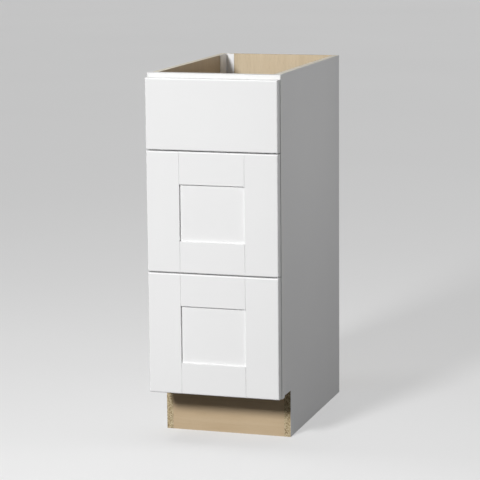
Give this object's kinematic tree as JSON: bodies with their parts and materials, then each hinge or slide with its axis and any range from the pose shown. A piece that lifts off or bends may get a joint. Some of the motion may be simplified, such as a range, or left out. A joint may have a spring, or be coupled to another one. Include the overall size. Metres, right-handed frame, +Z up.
{
  "type": "vanity drawer base cabinet",
  "caption": "Narrow white face-frame vanity base with a slab drawer over shaker drawers on ball slides, an open top and a recessed toe space.",
  "frame": {"origin": "on the floor, under the middle of the overall box", "axes": "+Z up, -Y towards the person who opens the drawers, +X to that person's right"},
  "size_m": [0.3048, 0.5334, 0.8255],
  "materials": {
    "white_paint": "satin white paint on wood and fibreboard",
    "white_board": "white laminate outside, light maple look inside, raw particleboard edges",
    "maple_board": "light maple-look laminate",
    "box_board": "clear-coated light maple",
    "white_plastic": "matt white plastic",
    "zinc_steel": "bright zinc plating",
    "bumper_rubber": "translucent soft pad"
  },
  "bodies": {
    "carcass": {"back_panel": "maple_board", "bottom_face_rail": "white_paint", "bottom_left_slide_channel": "zinc_steel", "bottom_right_slide_channel": "zinc_steel", "deck_panel": "maple_board", "left_corner_angle": "white_plastic", "left_face_stile": "white_paint", "left_side_panel": "white_board", "lower_mid_face_rail": "white_paint", "middle_left_slide_channel": "zinc_steel", "middle_right_slide_channel": "zinc_steel", "right_corner_angle": "white_plastic", "right_face_stile": "white_paint", "right_side_panel": "white_board", "slide_brackets": "zinc_steel", "slide_screws": "zinc_steel", "toe_board": "maple_board", "top_face_rail": "white_paint", "top_left_slide_channel": "zinc_steel", "top_right_slide_channel": "zinc_steel", "upper_mid_face_rail": "white_paint"},
    "top_drawer": {"top_box_back": "box_board", "top_box_bottom": "box_board", "top_box_front": "box_board", "top_box_left_side": "box_board", "top_box_right_side": "box_board", "top_bumpers": "bumper_rubber", "top_drawer_screws": "zinc_steel", "top_front": "white_paint", "top_slide_runners": "zinc_steel"},
    "middle_drawer": {"middle_box_back": "box_board", "middle_box_bottom": "box_board", "middle_box_front": "box_board", "middle_box_left_side": "box_board", "middle_box_right_side": "box_board", "middle_bumpers": "bumper_rubber", "middle_drawer_screws": "zinc_steel", "middle_front_bottom_rail": "white_paint", "middle_front_left_stile": "white_paint", "middle_front_panel": "white_paint", "middle_front_right_stile": "white_paint", "middle_front_top_rail": "white_paint", "middle_slide_runners": "zinc_steel"},
    "bottom_drawer": {"bottom_box_back": "box_board", "bottom_box_bottom": "box_board", "bottom_box_front": "box_board", "bottom_box_left_side": "box_board", "bottom_box_right_side": "box_board", "bottom_bumpers": "bumper_rubber", "bottom_drawer_screws": "zinc_steel", "bottom_front_bottom_rail": "white_paint", "bottom_front_left_stile": "white_paint", "bottom_front_panel": "white_paint", "bottom_front_right_stile": "white_paint", "bottom_front_top_rail": "white_paint", "bottom_slide_runners": "zinc_steel"},
    "top_cages": {"top_ball_cages": "zinc_steel"},
    "middle_cages": {"middle_ball_cages": "zinc_steel"},
    "bottom_cages": {"bottom_ball_cages": "zinc_steel"}
  },
  "joints": [
    {"name": "top_drawer_slide", "type": "slide", "parent": "carcass", "child": "top_drawer", "axis": [0, -1, 0], "range_m": [0, 0.342]},
    {"name": "middle_drawer_slide", "type": "slide", "parent": "carcass", "child": "middle_drawer", "axis": [0, -1, 0], "range_m": [0, 0.342]},
    {"name": "bottom_drawer_slide", "type": "slide", "parent": "carcass", "child": "bottom_drawer", "axis": [0, -1, 0], "range_m": [0, 0.342]},
    {"name": "top_cage_roll", "type": "slide", "parent": "carcass", "child": "top_cages", "axis": [0, -1, 0], "range_m": [0, 0.171]},
    {"name": "middle_cage_roll", "type": "slide", "parent": "carcass", "child": "middle_cages", "axis": [0, -1, 0], "range_m": [0, 0.171]},
    {"name": "bottom_cage_roll", "type": "slide", "parent": "carcass", "child": "bottom_cages", "axis": [0, -1, 0], "range_m": [0, 0.171]}
  ],
  "couplings": [
    {"joint": "top_cage_roll", "follows": "top_drawer_slide", "ratio": 0.5},
    {"joint": "middle_cage_roll", "follows": "middle_drawer_slide", "ratio": 0.5},
    {"joint": "bottom_cage_roll", "follows": "bottom_drawer_slide", "ratio": 0.5}
  ]
}
